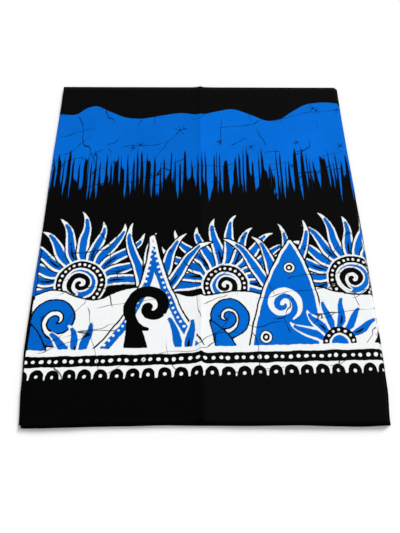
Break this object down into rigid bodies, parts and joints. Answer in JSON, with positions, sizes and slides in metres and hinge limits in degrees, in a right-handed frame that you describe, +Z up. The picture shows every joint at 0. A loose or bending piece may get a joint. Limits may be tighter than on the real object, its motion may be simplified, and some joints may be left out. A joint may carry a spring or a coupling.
{
  "type": "batik sarong, folded",
  "caption": "Tube sarong of wax-resist dyed cotton, folded flat into a rectangular packet with rolled folds, stepped layer edges and a stitched hem.",
  "frame": {"origin": "centre of the packet's footprint, on the surface it lies on", "axes": "+X across the packet to the right, +Y from the hems to the far fold, +Z up out of the face"},
  "size_m": [0.5124, 0.6014, 0.0122],
  "materials": {
    "printed_cloth": "matte plain-weave cotton, black, blue and white wax-resist pattern",
    "hidden_cloth": "matte plain-weave cotton, folded edges that carry the same pattern round, mostly black",
    "hem_cloth": "matte black cotton hem, black thread"
  },
  "bodies": {
    "root": {"front_panel": "printed_cloth", "waist_panel": "printed_cloth", "inner_layers": "hidden_cloth", "hem_strip": "hem_cloth"}
  },
  "joints": []
}
